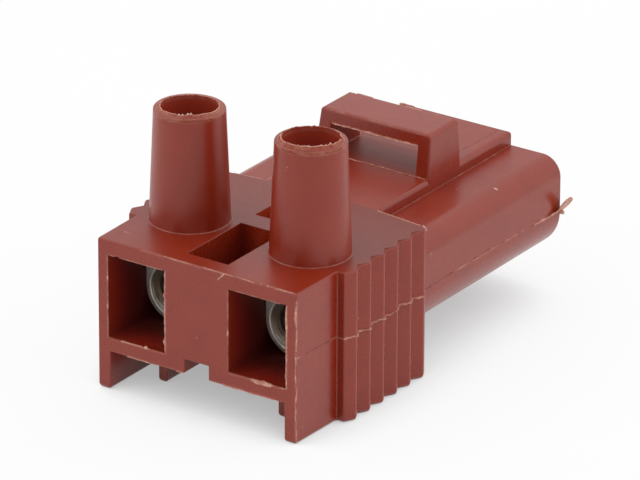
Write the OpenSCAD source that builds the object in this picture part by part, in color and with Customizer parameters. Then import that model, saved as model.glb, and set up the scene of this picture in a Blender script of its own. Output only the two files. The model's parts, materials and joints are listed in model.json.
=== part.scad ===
// Two-pole pluggable terminal block, the socket half, in millimetres.
// X runs across the poles, +Y from the wire side to the mating end, +Z up.
// The origin is under the middle of the part, on the surface that its skirts stand on.
// Inside each node, Y is counted from the wire side's face and moved to the origin at the end.

/* [Poles] */
// Distance between the two poles
pole_pitch = 10; // [9.4:0.1:12]
// Setback of the clamp screws from the front face
screw_setback = 6.35; // [6:0.05:7.2]

/* [Block] */
// Depth of the block at the rail
block_depth = 14.8; // [13:0.1:18]
// How far the back face runs forward towards its outer corners
block_sweep = 0.5; // [0:0.05:0.8]
// Wall outside each wire entry
outer_wall = 0.84; // [0.6:0.02:1.6]
// Thickness of the floor under the wire entries
floor_wall = 1.07; // [0.8:0.01:1.6]
// Thickness of the roof over the wire entries
roof_wall = 1.06; // [0.8:0.01:1.6]

/* [Underside] */
// Height of the skirts, up to the floor's underside
skirt_height = 2.88; // [1.5:0.02:5]
// Thickness of the skirts
skirt_wall = 0.98; // [0.6:0.02:1.4]
// Thickness of the rib under each pole
rib_wall = 0.73; // [0.5:0.01:1.2]
// Setback of the ribs from the front face
rib_setback = 3.05; // [1:0.05:6]
// Width of the groove in the middle of the floor
groove_width = 2.03; // [1:0.05:3]
// Depth of that groove
groove_depth = 1.05; // [0.4:0.05:1.4]

/* [Wire entries] */
// Width of each wire entry
entry_width = 4.76; // [4.4:0.02:5.4]
// Height of each wire entry
entry_height = 6.14; // [5.8:0.02:7]

/* [Top pockets] */
// Width of the pockets between the poles
pocket_width = 3.34; // [2:0.02:3.6]
// Setback of the front pocket
pocket_setback = 1.38; // [0.8:0.02:2]
// Length of the front pocket
pocket_length = 6.3; // [4:0.1:7]
// Web between the front pocket and the back pocket
pocket_web = 1.7; // [0.8:0.1:2.5]
// Length of the back pocket
back_pocket_length = 3.4; // [2:0.1:4]
// Thickness left under the pockets, above the groove
pocket_floor = 1.1; // [0.8:0.05:3]

/* [Finger grip] */
// Where the sides step out to the grip
grip_start = 4.65; // [3:0.05:6]
// How far each side runs out from the front edge to that step
side_flare = 0.12; // [0:0.02:0.4]
// Width of the step, from the side to the grip's valleys
grip_step = 0.61; // [0.3:0.02:1]
// Height of the ridges over the valleys
grip_depth = 0.46; // [0.2:0.02:0.7]
// Distance between ridges
grip_pitch = 1.65; // [1.2:0.05:2.4]
// Run of the first flank, from the step to the first ridge
grip_lead = 0.87; // [0.5:0.01:1.2]
// Radius in the corner of the step
grip_fillet = 0.1; // [0.05:0.01:0.5]

/* [Screw towers] */
// Height of the towers over the block
tower_height = 8.21; // [7.6:0.05:11]
// Outside diameter at the foot of a tower
tower_base_d = 5.67; // [5.3:0.05:6.4]
// Outside diameter at the rim of a tower
tower_top_d = 5; // [4.8:0.05:5.6]
// Radius on the rim's outer edge
tower_rim_r = 0.1; // [0.05:0.01:0.3]
// Diameter of the screwdriver guide
driver_bore_d = 4; // [3.9:0.02:4.2]
// Depth of the screwdriver guide
driver_bore_depth = 4.1; // [2.5:0.1:4.3]

/* [Nose] */
// Length of the whole part
overall_length = 31.83; // [29:0.1:38]
// Height of the nose's underside
nose_bottom = 3.05; // [2.9:0.05:3.6]
// Height of the nose's shoulders below the top of the block
shoulder_drop = 0.97; // [0.6:0.01:1.4]
// Diameter of the bore around each contact sleeve
nose_bore_d = 4.76; // [4:0.02:5]
// Wall outside each of those bores
nose_wall = 1.61; // [1.2:0.01:2.4]
// Radius of the nose's upper corners
nose_top_r = 1.5; // [0.5:0.05:2]
// Radius of the nose's lower corners
nose_bottom_r = 2.95; // [1:0.05:3.2]
// Thickness of the end wall in front of the sleeves
end_wall = 2.2; // [1.8:0.1:4]
// Diameter of the pin entries
pin_entry_d = 3.2; // [2.9:0.05:3.6]
// Depth of the core between the sleeves
nose_core_depth = 16.5; // [8:0.5:17]

/* [Rail and latch bridge] */
// Width of the rail along the nose
rail_width = 9.6; // [8:0.1:11]
// Distance from the front face to the foot of the latch bridge
bridge_front = 21.16; // [19:0.05:23]
// Thickness of the bridge along the rail, at its foot
bridge_depth = 4.02; // [3:0.05:5]
// How far the bridge's front face leans back
bridge_lean = 0.5; // [0:0.05:1]
// How far each side of the bridge leans in
bridge_draft = 0.22; // [0:0.02:0.4]
// Height of the window under the bridge
window_height = 2.19; // [1.5:0.05:3]
// Thickness of the bar over the window
bridge_bar = 0.96; // [0.7:0.02:1.5]
// Width of each post beside the window, at its foot
bridge_post = 1.17; // [0.8:0.02:1.6]

/* [Terminals] */
// Setback of the terminals from the front face
terminal_setback = 4.4; // [4.2:0.05:4.6]
// Length of a terminal's clamping body
body_length = 7.4; // [7.2:0.1:9]
// Clearance of the body in its chamber, on each side
body_clearance = 0.03; // [0.02:0.01:0.1]
// Clearance over the body
body_headroom = 0.15; // [0.05:0.01:0.4]
// Radius of the body's upper corners
body_top_r = 1.2; // [0.5:0.05:1.8]
// Diameter of the wire bore
wire_bore_d = 3; // [2.8:0.02:3.2]
// Depth of the wire bore, with its countersink
wire_bore_depth = 5; // [4.6:0.05:5.2]
// Diameter of the countersink
countersink_d = 4; // [3.6:0.05:4.3]
// Depth of the countersink
countersink_depth = 0.5; // [0.2:0.05:0.8]

/* [Contact sleeves] */
// Outside diameter of a sleeve
sleeve_od = 3.3; // [3.1:0.05:3.6]
// Bore of a sleeve, for the mating pin
sleeve_bore_d = 2.5; // [2.2:0.05:2.7]
// Depth of its seat in the back of the terminal
sleeve_seat = 1.9; // [1.5:0.05:2]
// Radial clearance in that seat
seat_clearance = 0.02; // [0.01:0.01:0.04]
// Gap between the sleeve's mouth and the end wall
mouth_gap = 0.3; // [0.1:0.05:0.8]
// Width of the rolled seam and of the slots between the fingers
sleeve_slot = 0.35; // [0.2:0.05:0.45]
// Length of the fingers
finger_length = 7; // [4:0.25:9]

/* [Clamp screws] */
// Diameter of the screw thread at its pitch line
screw_d = 2.7; // [2.5:0.05:2.8]
// Radial clearance of the screw in its thread
thread_clearance = 0.05; // [0.03:0.01:0.08]
// Length of the screw under its head
screw_length = 5.25; // [5.2:0.05:5.5]
// Diameter of the screw head
head_d = 3.3; // [3.2:0.02:3.4]
// Height of the screw head
head_height = 1.6; // [1.2:0.05:1.8]
// Clearance around the head in its well
head_clearance = 0.15; // [0.08:0.01:0.16]
// Width of the driver slot
slot_width = 0.7; // [0.5:0.05:1]
// Depth of the driver slot
slot_depth = 0.9; // [0.5:0.05:1.1]
// Gap that the backed-out screw leaves over the wire bore
screw_tip_gap = 0.1; // [0.05:0.01:0.2]
// Chamfer on the screw's tip
tip_chamfer = 0.35; // [0.1:0.05:0.6]

/* [Hidden] */
$fn = 96;
// Overshoot of every cut through a face
over = 1;
// Chamfers at the screw head and at the pin entries
head_chamfer = 0.2;
pin_lead_in = 0.4;

plastic = "#8a4034";
plated = "#8f8b7c";
bronze = "#b08d57";
steel = "#a3a5a6";

pole_x = pole_pitch / 2;
entry_sill = skirt_height + floor_wall;
entry_head = entry_sill + entry_height;
block_height = entry_head + roof_wall;
shoulder = block_height - shoulder_drop;
tower_top = block_height + tower_height;

side_front = pole_x + entry_width / 2 + outer_wall;
side_back = side_front + side_flare;
valley_x = side_back + grip_step;
ridge_x = valley_x + grip_depth;
corner_y = block_depth - block_sweep;
first_ridge = grip_start + grip_lead;
ridge_run = (corner_y - first_ridge) / grip_pitch;
last_ridge = first_ridge + floor(ridge_run) * grip_pitch;
corner_x = ridge_x - grip_depth * (1 - abs(1 - 2 * (ridge_run - floor(ridge_run))));

body_r = entry_width / 2 - body_clearance;
axis_z = entry_sill + body_r + body_clearance;
body_top = entry_head - body_headroom;
chamber_depth = terminal_setback + body_length;
wall_start = overall_length - end_wall;
sleeve_start = chamber_depth - sleeve_seat;
sleeve_end = wall_start - mouth_gap;
nose_bore_r = nose_bore_d / 2;
nose_half = pole_x + nose_bore_r + nose_wall;
pin_entry_r = pin_entry_d / 2;

bridge_top = block_height + window_height + bridge_bar;
bridge_half = rail_width / 2;

well_r = head_d / 2 + head_clearance;
shank_r = screw_d / 2 - thread_clearance;
screw_tip = axis_z + wire_bore_d / 2 + screw_tip_gap;
head_bottom = screw_tip + screw_length;

// Points along an arc
function arc(x, y, r, from, to, steps) =
  [for (i = [0:steps]) let (a = from + (to - from) * i / steps) [x + r * cos(a), y + r * sin(a)]];

// A closed outline from its right half
function both_sides(half) = concat(half, [for (i = [len(half) - 1:-1:0]) [-half[i].x, half[i].y]]);

// Right half of the block seen from above: side, step and saw-tooth grip, swept back face
function block_half() = concat(
  [[side_front, 0]],
  arc(side_back + grip_fillet, grip_start - grip_fillet, grip_fillet, 180, 90, 6),
  [[valley_x, grip_start]],
  [for (y = [first_ridge:grip_pitch:last_ridge + grip_pitch / 4])
    for (p = [[ridge_x, y], [valley_x, y + grip_pitch / 2]])
      if (p.y < corner_y) p],
  [[corner_x, corner_y], [rail_width / 2, block_depth]]
);

// Moves a node from the front face's frame to the part's origin
module placed() {
  translate([0, -overall_length / 2, 0]) children();
}

// Repeats a shape at both poles
module at_poles() {
  for (side = [-1, 1])
    translate([side * pole_x, 0, 0]) children();
}

// Extrudes a section drawn in X and Z along Y
module along_y(from, to) {
  translate([0, to, 0])
    rotate([90, 0, 0])
      linear_extrude(to - from) children();
}

// A round bar or bore along Y, with its axis at the height of the terminals
module round_y(from, to, r1, r2) {
  translate([0, from, axis_z])
    rotate([-90, 0, 0])
      cylinder(h = to - from, r1 = r1, r2 = r2);
}

// A section that stands on the X axis and has rounded upper corners
module round_top(half, height, r) {
  translate([-half, 0]) square([2 * half, height - r]);
  translate([-half + r, 0]) square([2 * (half - r), height]);
  for (side = [-1, 1])
    translate([side * (half - r), height - r]) circle(r = r);
}

// Block with its grip
module block_shape() {
  linear_extrude(block_height) polygon(both_sides(block_half()));
}

// Space between the skirts, which follow the step in the sides
module underside() {
  front_half = side_front - skirt_wall;
  grip_half = valley_x - skirt_wall;
  translate([-front_half, -over, -over])
    cube([2 * front_half, block_depth + 2 * over, skirt_height + over]);
  translate([-grip_half, grip_start + skirt_wall, -over])
    cube([2 * grip_half, block_depth + over, skirt_height + over]);
  translate([-groove_width / 2, -over, -over])
    cube([groove_width, block_depth + over, skirt_height + groove_depth + over]);
}

// Ribs under the poles
module ribs() {
  at_poles()
    translate([-rib_wall / 2, rib_setback, 0])
      cube([rib_wall, corner_y - rib_setback, skirt_height + floor_wall / 2]);
}

// Tower without its bores
module tower() {
  base_r = tower_base_d / 2;
  top_r = tower_top_d / 2;
  outline = concat(
    [[0, -roof_wall / 2], [base_r, -roof_wall / 2], [base_r, 0]],
    arc(top_r - tower_rim_r, tower_height - tower_rim_r, tower_rim_r, 0, 90, 6),
    [[0, tower_height]]
  );
  translate([0, screw_setback, block_height])
    rotate_extrude() polygon(outline);
}

// Nose with its rail
module nose_shape() {
  along_y(last_ridge, overall_length)
    translate([0, axis_z]) {
      round_top(nose_half, shoulder - axis_z, nose_top_r);
      mirror([0, 1]) round_top(nose_half, axis_z - nose_bottom, nose_bottom_r);
    }
  along_y(corner_y, overall_length)
    translate([-rail_width / 2, axis_z]) square([rail_width, block_height - axis_z]);
}

// Bridge that the mating half's latch hooks into, set into the rail at its foot
module latch_bridge() {
  back = bridge_front + bridge_depth;
  foot = block_height - roof_wall / 2;
  window_half = bridge_half - bridge_post;
  top_half = bridge_half - bridge_draft;
  difference() {
    intersection() {
      along_y(bridge_front, back)
        polygon(both_sides([[top_half, foot], [bridge_half, block_height], [top_half, bridge_top]]));
      translate([-bridge_half, 0, 0])
        rotate([90, 0, 90])
          linear_extrude(2 * bridge_half)
            polygon([[bridge_front, foot], [bridge_front, block_height],
                     [bridge_front + bridge_lean, bridge_top], [back, bridge_top], [back, foot]]);
    }
    translate([-window_half, bridge_front - over, block_height])
      cube([2 * window_half, bridge_depth + 2 * over, window_height]);
  }
}

// Pockets in the top and the core in the nose's end, between the poles
module pockets() {
  low = skirt_height + groove_depth + pocket_floor;
  back_start = pocket_setback + pocket_length + pocket_web;
  core_low = nose_bottom + floor_wall;
  core_high = block_height - roof_wall;
  translate([-pocket_width / 2, pocket_setback, low])
    cube([pocket_width, pocket_length, block_height]);
  translate([-pocket_width / 2, back_start, low])
    cube([pocket_width, back_pocket_length, block_height]);
  translate([-pocket_width / 2, overall_length - nose_core_depth, core_low])
    cube([pocket_width, nose_core_depth + over, core_high - core_low]);
}

// Everything that is cut for one pole: wire entry, sleeve bore, pin entry and tower bores
module pole_cuts() {
  translate([-entry_width / 2, -over, entry_sill])
    cube([entry_width, chamber_depth + over, entry_height]);
  round_y(chamber_depth - over, wall_start, nose_bore_r, nose_bore_r);
  round_y(wall_start - over, overall_length + over, pin_entry_r, pin_entry_r);
  round_y(overall_length - pin_lead_in, overall_length, pin_entry_r, pin_entry_r + pin_lead_in);
  translate([0, screw_setback, 0]) {
    translate([0, 0, entry_head - over])
      cylinder(h = tower_top - entry_head, r = well_r);
    translate([0, 0, tower_top - driver_bore_depth])
      cylinder(h = driver_bore_depth + over, r = driver_bore_d / 2);
  }
}

// One-piece moulding
module housing() {
  color(plastic)
    placed()
      difference() {
        union() {
          difference() {
            block_shape();
            underside();
          }
          ribs();
          at_poles() tower();
          nose_shape();
          latch_bridge();
        }
        pockets();
        at_poles() pole_cuts();
      }
}

// Clamping body, cut from a plated bar, with a seat for its sleeve
module terminal(side) {
  seat_r = sleeve_od / 2 + seat_clearance;
  color(plated)
    placed()
      translate([side * pole_x, 0, 0])
        difference() {
          along_y(terminal_setback, chamber_depth)
            translate([0, axis_z]) {
              circle(r = body_r);
              round_top(body_r, body_top - axis_z, body_top_r);
            }
          round_y(terminal_setback - over, terminal_setback + wire_bore_depth,
                  wire_bore_d / 2, wire_bore_d / 2);
          round_y(terminal_setback, terminal_setback + countersink_depth,
                  countersink_d / 2, wire_bore_d / 2);
          round_y(sleeve_start, chamber_depth + over, seat_r, seat_r);
          translate([0, screw_setback, axis_z])
            cylinder(h = entry_head - axis_z, r = screw_d / 2);
        }
}

// Spring sleeve rolled from strip, with a seam and two fingers for the mating pin
module contact_sleeve(side) {
  slot_reach = sleeve_od / 2 + over;
  color(bronze)
    placed()
      translate([side * pole_x, 0, 0])
        difference() {
          round_y(sleeve_start, sleeve_end, sleeve_od / 2, sleeve_od / 2);
          round_y(sleeve_start - over, sleeve_end + over, sleeve_bore_d / 2, sleeve_bore_d / 2);
          translate([-sleeve_slot / 2, sleeve_start - over, axis_z - slot_reach])
            cube([sleeve_slot, sleeve_end - sleeve_start + 2 * over, slot_reach]);
          translate([-sleeve_slot / 2, sleeve_end - finger_length, axis_z])
            cube([sleeve_slot, finger_length + over, slot_reach]);
        }
}

// Slotted clamp screw, backed out clear of the wire bore
module clamp_screw(side) {
  head_top = head_bottom + head_height;
  color(steel)
    placed()
      translate([side * pole_x, screw_setback, 0])
        difference() {
          union() {
            translate([0, 0, screw_tip])
              cylinder(h = tip_chamfer, r1 = shank_r - tip_chamfer, r2 = shank_r);
            translate([0, 0, screw_tip + tip_chamfer])
              cylinder(h = screw_length - tip_chamfer, r = shank_r);
            translate([0, 0, head_bottom])
              cylinder(h = head_height - head_chamfer, r = head_d / 2);
            translate([0, 0, head_top - head_chamfer])
              cylinder(h = head_chamfer, r1 = head_d / 2, r2 = head_d / 2 - head_chamfer);
          }
          translate([-head_d, -slot_width / 2, head_top - slot_depth])
            cube([2 * head_d, slot_width, slot_depth + over]);
        }
}

module terminal_left() { terminal(-1); }
module terminal_right() { terminal(1); }
module contact_sleeve_left() { contact_sleeve(-1); }
module contact_sleeve_right() { contact_sleeve(1); }
module clamp_screw_left() { clamp_screw(-1); }
module clamp_screw_right() { clamp_screw(1); }

housing();
terminal_left();
terminal_right();
contact_sleeve_left();
contact_sleeve_right();
clamp_screw_left();
clamp_screw_right();
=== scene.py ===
import json
import math

import bmesh
import bpy
from mathutils import Matrix, Vector, noise


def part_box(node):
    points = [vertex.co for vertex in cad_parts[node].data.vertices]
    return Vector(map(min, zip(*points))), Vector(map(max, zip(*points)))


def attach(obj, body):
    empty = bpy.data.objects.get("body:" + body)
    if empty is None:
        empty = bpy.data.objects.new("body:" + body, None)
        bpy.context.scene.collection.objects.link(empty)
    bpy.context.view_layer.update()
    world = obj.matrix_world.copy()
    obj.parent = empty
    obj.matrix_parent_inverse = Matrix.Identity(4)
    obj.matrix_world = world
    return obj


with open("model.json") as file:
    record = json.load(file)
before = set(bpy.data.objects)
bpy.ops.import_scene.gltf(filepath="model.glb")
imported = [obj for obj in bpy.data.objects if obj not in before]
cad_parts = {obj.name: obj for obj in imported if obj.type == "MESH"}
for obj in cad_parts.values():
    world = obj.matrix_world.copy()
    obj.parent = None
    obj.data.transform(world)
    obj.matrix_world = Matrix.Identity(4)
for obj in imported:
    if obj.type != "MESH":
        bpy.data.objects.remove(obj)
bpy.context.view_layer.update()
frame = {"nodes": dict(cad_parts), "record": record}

MM = 0.001
UP = Vector((0, 0, 1))


def in_mm(place):
    """A place from the frame, in millimetres."""
    return [round(v / MM, 3) for v in place]


# Sizes from the frame: the housing's box, the right pole's driver guide and wire bore, and its terminal
RIDGE_X, HALF_LENGTH, TOWER_TOP = in_mm(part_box("housing")[1])
MOUNTS = {mount["name"]: mount for mount in frame["record"]["mounts"]}
GUIDE = MOUNTS["driver_guide_right"]
POLE_X = in_mm(GUIDE["pos_m"])[0]
SCREW_Y = in_mm(GUIDE["pos_m"])[1] + HALF_LENGTH
TOWER_HOLE_R = GUIDE["dims"]["r_mm"]
AXIS_Z = in_mm(MOUNTS["wire_right"]["pos_m"])[2]
CHAMBER_DEPTH = in_mm(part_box("terminal_right")[1])[1] + HALF_LENGTH
NOSE_END = 2 * HALF_LENGTH

# Block with its wire entries, pockets and towers, and the terminals' countersunk mouths
SKIRT_HEIGHT = 2.88
FLOOR_WALL = 1.07
ENTRY_HEIGHT = 6.14
ROOF_WALL = 1.06
ENTRY_HALF = 2.38
OUTER_WALL = 0.84
SIDE_FLARE = 0.12
BLOCK_DEPTH = 14.8
BLOCK_SWEEP = 0.5
GROOVE_HALF = 1.015
GROOVE_DEPTH = 1.05
POCKET_HALF = 1.67
POCKET_START = 1.38
POCKET_END = 12.78
POCKET_FLOOR_WALL = 1.1
TOWER_BASE_R = 2.835
COUNTERSINK_R = 2.0
ENTRY_SILL = SKIRT_HEIGHT + FLOOR_WALL
ENTRY_HEAD = ENTRY_SILL + ENTRY_HEIGHT
BLOCK_TOP = ENTRY_HEAD + ROOF_WALL
POCKET_FLOOR = SKIRT_HEIGHT + GROOVE_DEPTH + POCKET_FLOOR_WALL
SIDE_FRONT = POLE_X + ENTRY_HALF + OUTER_WALL
SIDE_BACK = SIDE_FRONT + SIDE_FLARE

# Saw-tooth grip on the block's sides, and the corner at its back end
GRIP_START = 4.65
GRIP_LEAD = 0.87
GRIP_PITCH = 1.65
GRIP_DEPTH = 0.46
CORNER_X = 9.115
CORNER_Y = BLOCK_DEPTH - BLOCK_SWEEP
FIRST_RIDGE = GRIP_START + GRIP_LEAD
RIDGE_COUNT = math.floor((CORNER_Y - FIRST_RIDGE) / GRIP_PITCH) + 1
VALLEY_X = RIDGE_X - GRIP_DEPTH

# Nose with its core, rail and latch bridge
NOSE_HALF = 8.99
NOSE_BOTTOM = 3.05
CORE_DEPTH = 16.5
SHOULDER_DROP = 0.97
RAIL_HALF = 4.8
BRIDGE_FRONT = 21.16
BRIDGE_DEPTH = 4.02
BRIDGE_LEAN = 0.5
BRIDGE_DRAFT = 0.22
BRIDGE_POST = 1.17
BRIDGE_BAR = 0.96
WINDOW_HEIGHT = 2.19
CORE_START = NOSE_END - CORE_DEPTH
SHOULDER_Z = BLOCK_TOP - SHOULDER_DROP
BRIDGE_BACK = BRIDGE_FRONT + BRIDGE_DEPTH
BRIDGE_TOP_HALF = RAIL_HALF - BRIDGE_DRAFT
WINDOW_HALF = RAIL_HALF - BRIDGE_POST
WINDOW_TOP = BLOCK_TOP + WINDOW_HEIGHT
BRIDGE_TOP = WINDOW_TOP + BRIDGE_BAR

# Height of the mould's parting line on the sides
PARTING_Z = 6.3


def from_face(y):
    """The part's own Y at a distance from the wire side's face."""
    return y - HALF_LENGTH


def at(x, y, z):
    """A place in the part's own frame."""
    return Vector((x, from_face(y), z))


def rgb(r, g, b):
    """An opaque colour."""
    return (r, g, b, 1.0)


class Graph:
    """Short hand for building the nodes of one tree."""

    def __init__(self, tree):
        self.tree = tree

    def add(self, kind, inputs=None, **props):
        """A new node with these properties, and with constants or links on these inputs."""
        node = self.tree.nodes.new(kind)
        for key, value in props.items():
            setattr(node, key, value)
        for key, value in (inputs or {}).items():
            self.put(node.inputs[key], value)
        return node

    def put(self, socket, value):
        """Links a socket to another one, or sets it to a constant."""
        if isinstance(value, bpy.types.NodeSocket):
            self.tree.links.new(value, socket)
        else:
            socket.default_value = value

    def math(self, operation, a, b=0.0):
        return self.add("ShaderNodeMath", {0: a, 1: b}, operation=operation).outputs[0]

    def plus(self, a, b):
        return self.math("ADD", a, b)

    def minus(self, a, b):
        return self.math("SUBTRACT", a, b)

    def times(self, first, *others):
        """The product of all values. Of masks, it is one only where all of them are."""
        total = first
        for other in others:
            total = self.math("MULTIPLY", total, other)
        return total

    def length(self, a, b):
        """The diagonal over two sides."""
        return self.math("SQRT", self.plus(self.times(a, a), self.times(b, b)))

    def within(self, value, low, high):
        """One between two limits, and zero elsewhere."""
        return self.times(self.math("GREATER_THAN", value, low), self.math("LESS_THAN", value, high))

    def axes(self, place):
        """X, Y and Z of a place."""
        return tuple(self.add("ShaderNodeSeparateXYZ", {0: place}).outputs)


class Shader(Graph):
    """A material in the making. Its places are in the part's own frame."""

    def __init__(self, name):
        self.material = bpy.data.materials.new(name)
        self.material.use_nodes = True
        super().__init__(self.material.node_tree)
        self.tree.nodes.clear()
        self.out = self.add("ShaderNodeOutputMaterial")

    def coords(self, scale=(1, 1, 1)):
        """Places in millimetres, stretched by a factor along each axis."""
        place = self.add("ShaderNodeTexCoord").outputs["Object"]
        factors = [s / MM for s in scale]
        node = self.add("ShaderNodeVectorMath", {0: place, 1: factors}, operation="MULTIPLY")
        return node.outputs["Vector"]

    def noise(self, place, scale, detail, rough, distortion=0.0):
        sockets = {"Vector": place, "Scale": scale, "Detail": detail, "Roughness": rough,
                   "Distortion": distortion}
        return self.add("ShaderNodeTexNoise", sockets).outputs["Fac"]

    def remap(self, value, low, high, to_low=0.0, to_high=1.0):
        sockets = {"Value": value, "From Min": low, "From Max": high, "To Min": to_low,
                   "To Max": to_high}
        return self.add("ShaderNodeMapRange", sockets).outputs["Result"]

    def mix(self, factor, a, b):
        """A colour between two others."""
        return self.add("ShaderNodeMix", {0: factor, 6: a, 7: b}, data_type="RGBA").outputs[2]

    def mottle(self, place, scale, dark, light, detail=4, rough=0.6, soft=0.15):
        """Two colours in patches. Their edges are the softer, the larger soft is."""
        patches = self.noise(place, scale, detail, rough)
        return self.mix(self.remap(patches, 0.5 - soft, 0.5 + soft), dark, light)

    def uneven(self, place, scale, low, high):
        """A value that wanders between two limits."""
        return self.remap(self.noise(place, scale, detail=3, rough=0.6), 0.3, 0.7, low, high)

    def ripple(self, place, scale, rough, strength, distance, under=None):
        """The normal of a finely uneven surface, laid over another normal where one is given."""
        height = self.noise(place, scale, detail=2, rough=rough)
        sockets = {"Height": height, "Strength": strength, "Distance": distance * MM}
        if under is not None:
            sockets["Normal"] = under
        return self.add("ShaderNodeBump", sockets).outputs["Normal"]

    def openness(self, distance, samples, inside=False):
        """How free the space over a surface, or under it where inside is true, is up to a distance."""
        sockets = {"Distance": distance * MM}
        node = self.add("ShaderNodeAmbientOcclusion", sockets, samples=samples, inside=inside)
        return node.outputs["AO"]

    def finish(self, **sockets):
        """Ends the material in a surface with these values."""
        names = {"base": "Base Color", "roughness": "Roughness", "metallic": "Metallic",
                 "normal": "Normal", "ior": "IOR"}
        surface = self.add("ShaderNodeBsdfPrincipled", {names[k]: v for k, v in sockets.items()})
        self.put(self.out.inputs["Surface"], surface.outputs[0])
        return self.material


# How far off a face its shade still reaches
NEAR = 0.05
# The towers' shade starts this far over the block
TOWER_FOOT_GAP = 0.01
# The block's top gets a painted shade between these distances
TOP_DARKENS = (4.0, 8.0)
# The wire entries get a painted shade between these distances, and it ends behind the terminals' faces
ENTRY_DARKENS = (0.1, 0.9)
ENTRY_SHADE_END = 9.0


def from_pole(t, x):
    """Distance across from the nearer pole."""
    return t.minus(t.math("ABSOLUTE", x), POLE_X)


def in_box(t, place, across, half, y_ends, z_ends):
    """One in a box of this half width, this far across on both sides, and zero elsewhere."""
    x, y, z = t.axes(place)
    aside = t.math("ABSOLUTE", t.minus(t.math("ABSOLUTE", x), across))
    along = t.within(y, *map(from_face, y_ends))
    return t.times(t.math("LESS_THAN", aside, half), along, t.within(z, *z_ends))


def near_towers(t, place, radius):
    """One within this radius of a tower's axis and above the block, and zero elsewhere."""
    x, y, z = t.axes(place)
    reach = t.length(from_pole(t, x), t.minus(y, from_face(SCREW_Y)))
    above = t.math("GREATER_THAN", z, BLOCK_TOP + TOWER_FOOT_GAP)
    return t.times(t.math("LESS_THAN", reach, radius), above)


def at_level(t, place, height):
    """One on the upward faces at this height, and zero elsewhere."""
    return t.within(t.axes(place)[2], height - NEAR, height + NEAR)


def back_of_top_painted_shade(t, place):
    """Mask of the painted shade on the top: rises from zero to one along the block's top past the towers,
    and is zero elsewhere.
    """
    y = t.axes(place)[1]
    rise = t.remap(y, *map(from_face, TOP_DARKENS))
    return t.times(rise, t.math("LESS_THAN", y, from_face(BLOCK_DEPTH)), at_level(t, place, BLOCK_TOP))


def in_pockets(t, place):
    """One on the walls of the pockets in the block's top, where shade is painted, and zero elsewhere."""
    return in_box(t, place, 0, POCKET_HALF + NEAR, (POCKET_START - NEAR, POCKET_END + NEAR),
                  (POCKET_FLOOR - NEAR, BLOCK_TOP - NEAR))


def in_window(t, place):
    """One on the rail's top under the latch bridge, and zero elsewhere."""
    return in_box(t, place, 0, WINDOW_HALF, (BRIDGE_FRONT, BRIDGE_BACK),
                  (BLOCK_TOP - NEAR, BLOCK_TOP + NEAR))


def in_entries(t, place):
    """Zero outside the wire entries and at their mouths, and one inside them, where shade is painted and
    the surface is dullest.
    """
    inside = in_box(t, place, POLE_X, ENTRY_HALF + NEAR, (0, ENTRY_SHADE_END),
                    (ENTRY_SILL - NEAR, ENTRY_HEAD + NEAR))
    return t.times(inside, t.remap(t.axes(place)[1], *map(from_face, ENTRY_DARKENS)))


def plastic_colour(t, place, depth):
    """Mottled red-brown: lighter tower bores, painted shade on the back of the top, in the pockets and in
    the entries, and pale edges that are partly wear and partly a painted highlight."""
    cloud = t.noise(place, scale=0.45, detail=4, rough=0.6, distortion=0.4)
    grain = t.noise(place, scale=9.0, detail=3, rough=0.6)
    tone = t.plus(t.times(cloud, 0.7), t.times(grain, 0.3))
    colour = t.mix(t.remap(tone, 0.35, 0.65), rgb(0.256, 0.0180, 0.0028), rgb(0.292, 0.0240, 0.0045))
    bores = t.times(near_towers(t, place, TOWER_HOLE_R + NEAR), 0.8)
    colour = t.mix(bores, colour, rgb(0.42, 0.050, 0.026))
    # Painted shade on the back of the top, past the towers
    colour = t.mix(t.times(back_of_top_painted_shade(t, place), 0.8), colour, rgb(0.18, 0.015, 0.003))
    # How open each point is, which sets the painted shade in the pockets and the wire entries
    room = t.openness(distance=8, samples=8)
    # Painted shade in the pockets: darkest where they are least open
    pocket = t.mix(t.remap(room, 0.10, 0.38), rgb(0.09, 0.0016, 0.0003), rgb(0.47, 0.045, 0.013))
    colour = t.mix(in_pockets(t, place), colour, pocket)
    # Painted shade in the wire entries: darker with depth and where they are least open
    entry = t.mix(t.remap(room, 0.05, 0.34), rgb(0.04, 0.0004, 0.0001), rgb(0.29, 0.010, 0.0015))
    colour = t.mix(depth, colour, entry)
    # Pale edges: partly wear, partly a painted highlight along the convex edges
    edges = t.remap(t.openness(distance=0.14, samples=6, inside=True), 0.85, 0.35)
    ragged = t.remap(t.noise(place, scale=3.2, detail=4, rough=0.7), 0.42, 0.62, 0.3, 1.0)
    return t.mix(t.times(edges, ragged, 0.65), colour, rgb(0.46, 0.165, 0.115))


def plastic_roughness(t, place, depth):
    """Satin that is duller on the towers and the tops, and dullest in the wire entries."""
    rough = t.uneven(place, 1.7, 0.24, 0.30)
    for mask, more in ((near_towers(t, place, TOWER_BASE_R + 2 * NEAR), 0.08),
                       (depth, 0.26),
                       (in_window(t, place), 0.10),
                       (at_level(t, place, BLOCK_TOP), 0.10),
                       (at_level(t, place, SHOULDER_Z), 0.08)):
        rough = t.plus(rough, t.times(mask, more))
    return rough


def plastic():
    """Red-brown moulding, a little wavy."""
    t = Shader("housing_plastic")
    place = t.coords()
    depth = in_entries(t, place)
    wave = t.ripple(place, 0.9, rough=0.5, strength=0.30, distance=0.012)
    normal = t.ripple(place, 26.0, rough=0.6, strength=0.22, distance=0.003, under=wave)
    return t.finish(base=plastic_colour(t, place, depth), roughness=plastic_roughness(t, place, depth),
                    normal=normal, ior=1.56)


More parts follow.
